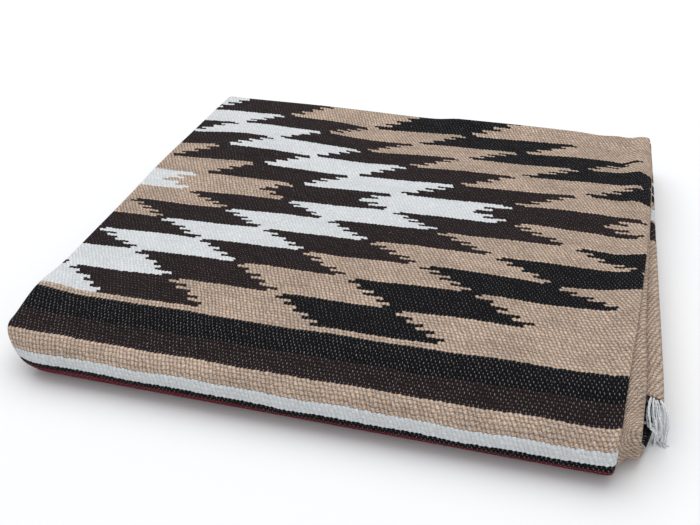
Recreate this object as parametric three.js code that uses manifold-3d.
// A handwoven striped blanket, folded into a flat square bundle and lying on a surface.
// Millimetres, +Z up, +X to the right, +Y to the back. The origin is under the middle of
// the bundle, at the level of the surface that it lies on.
//
// The cloth is one sheet. It is folded in thirds from side to side, so three plies lie on
// each other. Both fringed ends are then folded in over the middle, and the whole is
// folded once more, with one big soft fold at the front that holds the rest inside.

import * as THREE from 'three';
import Module from 'manifold-3d';

const wasm = await Module();
wasm.setup();

// Cloth and stack

const CLOTH = 3.0;
const AIR = 0.6;
const PITCH = CLOTH + AIR;
const PLIES_IN_PANEL = 3;
const PANEL_RISE = PLIES_IN_PANEL * PITCH;
const FIRST_MIDDLE = CLOTH / 2 + PITCH;

// Bundle, measured from its back left corner forwards

const DEPTH = 474;
const WIDTH = 500;
const FRONT_FOLD_REACH = 16;
const FRONT_SAG = 5;
const SAG_STARTS = 69;
const INSIDE_END = 74;
const LOFT_FADES = 40;
const ROLL_LENGTH = 42;

// The front edge runs out towards the left, and the front corners are rounded off

const FRONT_FLARE = 12;
const CORNER_DEPTH = 90;
const LEFT_CORNER = { starts: 30, ends: -10, back: 9 };
const RIGHT_CORNER = { starts: 485, ends: 518, back: 24 };

// Middle of the bundle's box, which becomes the origin

const CENTRE_X = 263.83;
const CENTRE_Y = 231.34;

// Where each panel's edges lie, from left to right, at six distances behind the front.
// selvedge is the free right edge of the first ply, roll the right fold of the other two
// and left the fold of the first two. inner is the free left edge of the third ply, and
// loft is how far the roll stands open.

const AT = [0, 80, 150, 290, 410, 474];

const FLOOR_PANEL = {
  selvedge: [505, 506, 506, 504, 502, 499],
  roll: [517, 526, 521, 513, 507, 502],
  left: [-8, -9, -8, -5, -3, -1],
  inner: [-4, -3, -1, 3, 4, 6],
  loft: [1.8, 1.8, 1.4, 1.2, 1.4, 0],
};

const LOWER_INSIDE = {
  selvedge: [512, 512, 510, 506, 502, 499],
  roll: [522, 522, 519, 511, 506, 501],
  left: [-7, -6, -3, 1, 2, 3],
  inner: [0, 1, 4, 8, 9, 10],
  loft: [1.0, 1.0, 1.0, 1.2, 1.4, 0],
};

const UPPER_INSIDE = {
  selvedge: [520, 518, 514, 507, 502, 498],
  roll: [535, 534.5, 529, 518.5, 510, 504],
  left: [-9, -8, -6, -3, 0, 2],
  inner: [-2, -1, 1, 4, 6, 8],
  loft: [4.4, 4.4, 3.6, 3.0, 2.4, 0],
};

const TOP_PANEL = {
  selvedge: [505.5, 507, 509, 510, 506, 501],
  roll: [517, 519, 515.5, 511.5, 508, 503],
  left: [-9, -10, -9, -6, -2, 0],
  inner: [-2, -3, -2, 1, 5, 7],
  loft: [2.4, 2.4, 2.4, 2.2, 2.2, 0],
};

// Slack of the top ply, as soft mounds with their middle, half lengths and rise

const SLACK = [
  { x: 492, y: 385, along: 26, back: 60, rise: 1.6 },
  { x: 440, y: 432, along: 34, back: 22, rise: 1.3 },
  { x: 120, y: 300, along: 90, back: 70, rise: 0.8 },
  { x: 330, y: 170, along: 110, back: 70, rise: 0.9 },
];

// Fringe. The strip runs along the cloth's end, and the locks leave it forwards. The locks
// of the upper end sink with the slack cloth above them, the highest ones most.

const STRIP_DEPTH = 3;
const STRIP_THICKNESS = 2.2;
const STRIP_GAP = 0.4;
const ROOT_DEPTH = STRIP_GAP + 1.8;
const LOCKS_EACH_PLY = 34;
const LOCK_WIDTH = 1.9;
const LOCK_LENGTH = 35;
const LOCK_SHORTER = 4;
const LOCK_SWAY = 1.1;
const LOCK_DROOP = 0.6;
const LOWER_LOCK_STEPS = 1;
const UPPER_LOCK_STEPS = 3;
const UPPER_SINKS = 0.57;
const SINK_HEIGHT = 12.7;
const COVERED_TO = 516;
const TIP_TAPER = 0.8;

// Loose strands at the open corner, which hang from the roll to the floor

const BRUSH_STRANDS = 15;
const BRUSH_WIDTH = 1.35;
const BRUSH_STARTS = 521;
const BRUSH_FLOOR = { x: 531.5, nearY: 49, farY: 70 };
const BRUSH_BULGE = 5;
const BRUSH_LEAVES = 0.75;
const BRUSH_HANGS = 0.4;
const BRUSH_SPREADS = 2;
const BRUSH_STEPS = 6;
const TOE = new THREE.Vector3(3.0, -1.4, 0);

// Steps of the mesh

const ACROSS = [492, 478, 455, 400, 280, 160, 50];
const ALONG_INSIDE = [125, 200, 290, 380, 440];
const ALONG_OUTSIDE = [36, 53, SAG_STARTS, ...ALONG_INSIDE];
const LEFT_FOLD_STEPS = 4;
const RIGHT_FOLD_STEPS = 5;
const BACK_FOLD_STEPS = 5;
const FRONT_FOLD_STEPS = 8;

// Heights and folds that follow from the sizes above

const BACK_RADIUS = PANEL_RISE / 2;
const HALF_BUNDLE = PITCH + CLOTH / 2;
const FOLD_BACK_Y = DEPTH - BACK_RADIUS - HALF_BUNDLE;
const FOLD_FRONT_Y = FRONT_FOLD_REACH + HALF_BUNDLE;
const MIDDLE_Z = [0, 1, 2, 3].map((panel) => FIRST_MIDDLE + panel * PANEL_RISE);
const FRONT_HALF_HEIGHT = (MIDDLE_Z[3] - MIDDLE_Z[0]) / 2;
const HALF_TURN = Math.PI / 2;

const { clamp, lerp, smoothstep } = THREE.MathUtils;

// A smooth curve through a row of a panel's table
function across(row, y) {
  const place = clamp(y, AT[0], AT[AT.length - 1]);
  const i = Math.min(AT.filter((stop) => stop <= place).length, AT.length - 1) - 1;
  const slope = (k) => {
    const a = Math.max(k - 1, 0);
    const b = Math.min(k + 1, AT.length - 1);
    return (row[b] - row[a]) / (AT[b] - AT[a]);
  };
  const span = AT[i + 1] - AT[i];
  const t = (place - AT[i]) / span;
  const rise = row[i + 1] - row[i];
  const bend = slope(i) * span * (1 - t) - slope(i + 1) * span * t;
  return row[i] + rise * t * t * (3 - 2 * t) + bend * t * (1 - t);
}

// How far a roll stands open, from 1 at its fold to 0 where its plies lie flat
function openness(fromFold) {
  const q = clamp(fromFold / ROLL_LENGTH, 0, 1);
  return (1 - q) ** 2 * (1 + 2 * q);
}

// How far a panel's roll lifts the cloth above it at a point
function loftAt(panel, x, y) {
  return across(panel.loft, y) * openness(across(panel.roll, y) - x);
}

function insideLoft(x, y) {
  const there = smoothstep(y, LOFT_FADES, SAG_STARTS);
  return there * (loftAt(LOWER_INSIDE, x, y) + loftAt(UPPER_INSIDE, x, y));
}

const LIFT = {
  floor: () => 0,
  inside: (x, y) => loftAt(FLOOR_PANEL, x, y) + loftAt(LOWER_INSIDE, x, y),
  top: (x, y) => loftAt(FLOOR_PANEL, x, y) + insideLoft(x, y) + loftAt(TOP_PANEL, x, y)
    - FRONT_SAG * (1 - smoothstep(y, FOLD_FRONT_Y, SAG_STARTS)),
};

function slackAt(x, y) {
  return SLACK.reduce((sum, mound) => {
    const far = ((x - mound.x) / mound.along) ** 2 + ((y - mound.y) / mound.back) ** 2;
    return sum + mound.rise * Math.exp(-far);
  }, 0);
}

// Stations along the warp, from the lower fringed end to the upper one. out is the side on
// which the first ply lies. from and to are the panels that a fold joins, and mix is how
// far the turn has gone.

function flat(panel, lift, middle, side, places, slack = 0) {
  return places.map((y) => ({
    y, z: MIDDLE_Z[middle], outY: 0, outZ: side,
    from: panel, to: panel, liftFrom: lift, liftTo: lift, mix: 0, slack,
  }));
}

function backFold(middleLow, from, to, liftFrom, liftTo) {
  const turn = [];
  for (let i = 1; i < BACK_FOLD_STEPS; i += 1) {
    const mix = i / BACK_FOLD_STEPS;
    const angle = HALF_TURN * (1 - 2 * mix);
    turn.push({
      y: FOLD_BACK_Y + BACK_RADIUS * Math.cos(angle),
      z: MIDDLE_Z[middleLow] + BACK_RADIUS * (1 + Math.sin(angle)),
      outY: Math.cos(angle),
      outZ: Math.sin(angle),
      from, to, liftFrom, liftTo, mix, slack: 0,
    });
  }
  return turn;
}

function frontFold() {
  const turn = [];
  for (let i = 1; i < FRONT_FOLD_STEPS; i += 1) {
    const angle = HALF_TURN * (2 * i / FRONT_FOLD_STEPS - 1);
    const outY = -Math.cos(angle) * FRONT_HALF_HEIGHT;
    const outZ = Math.sin(angle) * FRONT_FOLD_REACH;
    const size = Math.hypot(outY, outZ);
    turn.push({
      y: FOLD_FRONT_Y - FRONT_FOLD_REACH * Math.cos(angle),
      z: MIDDLE_Z[0] + FRONT_HALF_HEIGHT * (1 + Math.sin(angle)),
      outY: outY / size,
      outZ: outZ / size,
      from: FLOOR_PANEL, to: TOP_PANEL, liftFrom: LIFT.floor, liftTo: LIFT.top,
      mix: (1 + Math.sin(angle)) / 2, slack: 0,
    });
  }
  return turn;
}

function warpStations() {
  const inwards = [...ALONG_INSIDE].reverse();
  const forwards = [...ALONG_OUTSIDE].reverse();
  return [
    ...flat(LOWER_INSIDE, LIFT.inside, 1, 1, [INSIDE_END, ...ALONG_INSIDE, FOLD_BACK_Y]),
    ...backFold(0, LOWER_INSIDE, FLOOR_PANEL, LIFT.inside, LIFT.floor),
    ...flat(FLOOR_PANEL, LIFT.floor, 0, -1, [FOLD_BACK_Y, ...forwards, FOLD_FRONT_Y]),
    ...frontFold(),
    ...flat(TOP_PANEL, LIFT.top, 3, 1, [FOLD_FRONT_Y, ...ALONG_OUTSIDE, FOLD_BACK_Y], 1),
    ...backFold(2, TOP_PANEL, UPPER_INSIDE, LIFT.top, LIFT.inside),
    ...flat(UPPER_INSIDE, LIFT.inside, 2, -1, [FOLD_BACK_Y, ...inwards, INSIDE_END]),
  ];
}

// One column's value at a station, between the two panels that a fold joins
function column(station, name) {
  const a = across(station.from[name], station.y);
  const b = across(station.to[name], station.y);
  return lerp(a, b, station.mix);
}

// Points across the weft at a station: three plies, joined at the left and at the right.
// over is the height above the middle ply, and outX and outOver point away from the face.

function weftPoints(station) {
  const selvedge = column(station, 'selvedge');
  const roll = column(station, 'roll');
  const left = column(station, 'left');
  const inner = column(station, 'inner');
  const loft = column(station, 'loft');
  const rollHalf = (PITCH + loft) / 2;
  const rollX = roll - rollHalf - CLOTH / 2;
  const foldHalf = PITCH / 2;
  const foldX = left + foldHalf + CLOTH / 2;
  const nearRoll = (ACROSS[0] + rollX) / 2;
  const ply = (places, over, out) => places.map((x) => ({ x, over: over(x), outX: 0, out }));
  const turn = (steps, x, middle, radius, side) => {
    const points = [];
    for (let i = 1; i < steps; i += 1) {
      const angle = HALF_TURN * (1 - 2 * i / steps);
      points.push({
        x: x + side * radius * Math.cos(angle),
        over: middle + radius * Math.sin(angle),
        outX: -Math.cos(angle),
        out: -side * Math.sin(angle),
      });
    }
    return points;
  };
  const back = [...ACROSS].reverse();
  return [
    ...ply([selvedge, ...ACROSS, foldX], () => PITCH, 1),
    ...turn(LEFT_FOLD_STEPS, foldX, foldHalf, foldHalf, -1),
    ...ply([foldX, ...back, nearRoll, rollX], () => 0, -1),
    ...turn(RIGHT_FOLD_STEPS, rollX, -rollHalf, rollHalf, 1),
    ...ply([rollX, nearRoll, ...ACROSS, inner], (x) => -PITCH - loft * openness(roll - x), 1),
  ];
}

// How far the bundle's plan leaves a plain rectangle at a point
function planShift(x, y) {
  const front = Math.max(0, 1 - y / DEPTH);
  const corner = Math.max(0, 1 - y / CORNER_DEPTH) ** 2;
  const rounding = ({ starts, ends, back }) => {
    const q = Math.max(0, (x - starts) / (ends - starts));
    return back * q * q;
  };
  return corner * (rounding(LEFT_CORNER) + rounding(RIGHT_CORNER))
    - FRONT_FLARE * front * (1 - x / WIDTH);
}

// Where a point of the section lies in the bundle. half is the distance from the middle
// of the cloth's thickness, and forward the distance past the cloth's own end.
function place(station, point, half, forward = 0) {
  const x = point.x + point.outX * half;
  const slack = point.over > PITCH / 2 ? station.slack * slackAt(x, station.y) : 0;
  const over = point.over + point.out * half + slack;
  const y = station.y + station.outY * over - forward;
  const lift = lerp(
    station.liftFrom(point.x, station.y),
    station.liftTo(point.x, station.y),
    station.mix,
  );
  const z = station.z + station.outZ * over + lift;
  return new THREE.Vector3(x - CENTRE_X, y + planShift(x, y) - CENTRE_Y, z);
}

// A closed mesh from two facing grids of points
function closedSheet(front, back) {
  const rows = front.length;
  const columns = front[0].length;
  const positions = [...front.flat(), ...back.flat()].flatMap((p) => [p.x, p.y, p.z]);
  const a = (i, j) => i * columns + j;
  const b = (i, j) => rows * columns + a(i, j);
  const index = [];
  const quad = (p, q, r, s) => index.push(p, q, r, p, r, s);
  for (let i = 0; i < rows - 1; i += 1) {
    for (let j = 0; j < columns - 1; j += 1) {
      quad(a(i, j), a(i, j + 1), a(i + 1, j + 1), a(i + 1, j));
      quad(b(i, j), b(i + 1, j), b(i + 1, j + 1), b(i, j + 1));
    }
    quad(a(i, 0), a(i + 1, 0), b(i + 1, 0), b(i, 0));
    quad(a(i, columns - 1), b(i, columns - 1), b(i + 1, columns - 1), a(i + 1, columns - 1));
  }
  for (let j = 0; j < columns - 1; j += 1) {
    quad(a(0, j), b(0, j), b(0, j + 1), a(0, j + 1));
    quad(a(rows - 1, j), a(rows - 1, j + 1), b(rows - 1, j + 1), b(rows - 1, j));
  }
  return { positions, index };
}

function toGeometry({ positions, index }) {
  const geometry = new THREE.BufferGeometry();
  geometry.setAttribute('position', new THREE.Float32BufferAttribute(positions, 3));
  geometry.setIndex(index);
  geometry.computeVertexNormals();
  return geometry;
}

function toSolid({ positions, index }) {
  return new wasm.Manifold(new wasm.Mesh({
    numProp: 3,
    vertProperties: new Float32Array(positions),
    triVerts: new Uint32Array(index),
  }));
}

function blanketGeometry() {
  const grid = (half) => warpStations().map(
    (station) => weftPoints(station).map((point) => place(station, point, half)),
  );
  return toGeometry(closedSheet(grid(-CLOTH / 2), grid(CLOTH / 2)));
}

// The fringe of one end: a narrow strip along the cloth's edge, and strands that leave it

function strip(station) {
  const points = weftPoints(station);
  const edge = (half, forward) => points.map((point) => place(station, point, half, forward));
  const near = STRIP_GAP;
  const far = STRIP_GAP + STRIP_DEPTH;
  const half = STRIP_THICKNESS / 2;
  const upper = [edge(half, near), edge(half, far)];
  const lower = [edge(-half, near), edge(-half, far)];
  return station.outZ > 0 ? closedSheet(upper, lower) : closedSheet(lower, upper);
}

// A four-sided strand along a path, thinner at its tip
function strand(path, width) {
  const corners = [[-1, -1], [1, -1], [1, 1], [-1, 1]];
  const rings = path.map((point, i) => {
    const before = path[Math.max(i - 1, 0)];
    const after = path[Math.min(i + 1, path.length - 1)];
    const ahead = after.clone().sub(before).normalize();
    const hint = Math.abs(ahead.x) > 0.7 ? new THREE.Vector3(0, 1, 0) : new THREE.Vector3(1, 0, 0);
    const up = new THREE.Vector3().crossVectors(ahead, hint).normalize();
    const side = new THREE.Vector3().crossVectors(up, ahead).normalize();
    const half = (width / 2) * lerp(1, TIP_TAPER, i / (path.length - 1));
    return corners.map(([s, u]) => point.clone()
      .addScaledVector(side, s * half)
      .addScaledVector(up, u * half));
  });
  const index = [];
  const count = corners.length;
  for (let i = 0; i < rings.length - 1; i += 1) {
    for (let k = 0; k < count; k += 1) {
      const a = i * count + k;
      const b = i * count + ((k + 1) % count);
      index.push(a, b, b + count, a, b + count, a + count);
    }
  }
  const last = (rings.length - 1) * count;
  index.push(0, 2, 1, 0, 3, 2, last, last + 1, last + 2, last, last + 2, last + 3);
  return { positions: rings.flat().flatMap((p) => [p.x, p.y, p.z]), index };
}

// Points spread evenly along a run of the section
function spread(points, count) {
  const lengths = [0];
  for (let i = 1; i < points.length; i += 1) {
    lengths.push(lengths[i - 1] + points[i].distanceTo(points[i - 1]));
  }
  const total = lengths[lengths.length - 1];
  return Array.from({ length: count }, (_, k) => {
    const want = total * (k + 0.5) / count;
    const i = Math.max(1, lengths.findIndex((length) => length >= want));
    const t = (want - lengths[i - 1]) / (lengths[i] - lengths[i - 1]);
    return points[i - 1].clone().lerp(points[i], t);
  });
}

// A lock between the plies, which sinks with the slack cloth above it by its share
function straightLock(root, k, steps, share) {
  const sway = LOCK_SWAY * Math.sin(k * k);
  const reach = LOCK_LENGTH - LOCK_SHORTER * Math.sin(k * k + 1) ** 2;
  const x = root.x + CENTRE_X;
  const lift = LIFT.top(x, INSIDE_END);
  return Array.from({ length: steps + 1 }, (_, i) => {
    const t = i / steps;
    const sunk = share * (lift - LIFT.top(x, INSIDE_END - STRIP_DEPTH - reach * t));
    return new THREE.Vector3(
      root.x + sway * t * t,
      root.y - reach * t,
      root.z - sunk - LOCK_DROOP * (1 - share) * t,
    );
  });
}

// A strand of the open corner: out of the roll, down past the panel below, to the floor
function cornerStrand(root, share) {
  const floorY = lerp(BRUSH_FLOOR.farY, BRUSH_FLOOR.nearY, share) - CENTRE_Y;
  const side = Math.sin(Math.PI * share);
  const footX = BRUSH_FLOOR.x + BRUSH_SPREADS * side - CENTRE_X;
  const foot = new THREE.Vector3(footX, floorY, BRUSH_WIDTH * TIP_TAPER / 2);
  const leaves = new THREE.Vector3(root.x, lerp(root.y, floorY, BRUSH_LEAVES), root.z);
  leaves.x += BRUSH_BULGE * side;
  const hangs = foot.clone();
  hangs.x += BRUSH_BULGE * lerp(BRUSH_HANGS, 1, side);
  hangs.z += BRUSH_HANGS * root.z;
  const curve = new THREE.CubicBezierCurve3(root, leaves, hangs, foot);
  return [...curve.getPoints(BRUSH_STEPS), foot.clone().add(TOE)];
}

function fringeGeometry(station, hasOpenCorner) {
  const points = weftPoints(station);
  const inStrip = points.map((point) => place(station, point, 0, ROOT_DEPTH));
  const steps = hasOpenCorner ? UPPER_LOCK_STEPS : LOWER_LOCK_STEPS;
  const covered = hasOpenCorner ? COVERED_TO - CENTRE_X : Infinity;
  const plyEnd = ACROSS.length + 1;
  const secondPly = plyEnd + LEFT_FOLD_STEPS;
  const runs = [
    inStrip.slice(0, plyEnd),
    inStrip.slice(secondPly, secondPly + plyEnd + 1),
    inStrip.slice(-plyEnd - 2),
  ];
  const pieces = [toSolid(strip(station))];
  runs.forEach((run) => {
    const roots = spread(run, LOCKS_EACH_PLY).filter((root) => root.x < covered);
    roots.forEach((root, k) => {
      const share = hasOpenCorner ? UPPER_SINKS + (root.z - MIDDLE_Z[2]) / SINK_HEIGHT : 0;
      const path = straightLock(root, k, steps, share);
      pieces.push(toSolid(strand(path, LOCK_WIDTH)));
    });
  });
  if (hasOpenCorner) {
    const corner = BRUSH_STARTS - CENTRE_X;
    const first = inStrip.findIndex((p, i) => i >= secondPly && p.x > corner);
    const last = inStrip.findLastIndex((p) => p.x > corner);
    const roots = spread(inStrip.slice(first - 1, last + 2), BRUSH_STRANDS);
    roots.forEach((root, k) => {
      const path = cornerStrand(root, k / (BRUSH_STRANDS - 1));
      pieces.push(toSolid(strand(path, BRUSH_WIDTH)));
    });
  }
  const mesh = wasm.Manifold.union(pieces).getMesh();
  return toGeometry({ positions: mesh.vertProperties, index: [...mesh.triVerts] });
}

// Finishes

const woven = new THREE.MeshStandardMaterial({ color: 0xbfa68a, roughness: 0.95, metalness: 0 });
const cotton = new THREE.MeshStandardMaterial({ color: 0xe4e4e0, roughness: 0.9, metalness: 0 });

function part(name, geometry, material) {
  const mesh = new THREE.Mesh(geometry, material);
  mesh.name = name;
  return mesh;
}

const stations = warpStations();
const blanket = new THREE.Group();
blanket.add(part('blanket_cloth', blanketGeometry(), woven));
blanket.add(part('fringe_upper_end', fringeGeometry(stations[stations.length - 1], true), cotton));
blanket.add(part('fringe_lower_end', fringeGeometry(stations[0], false), cotton));

export default blanket;
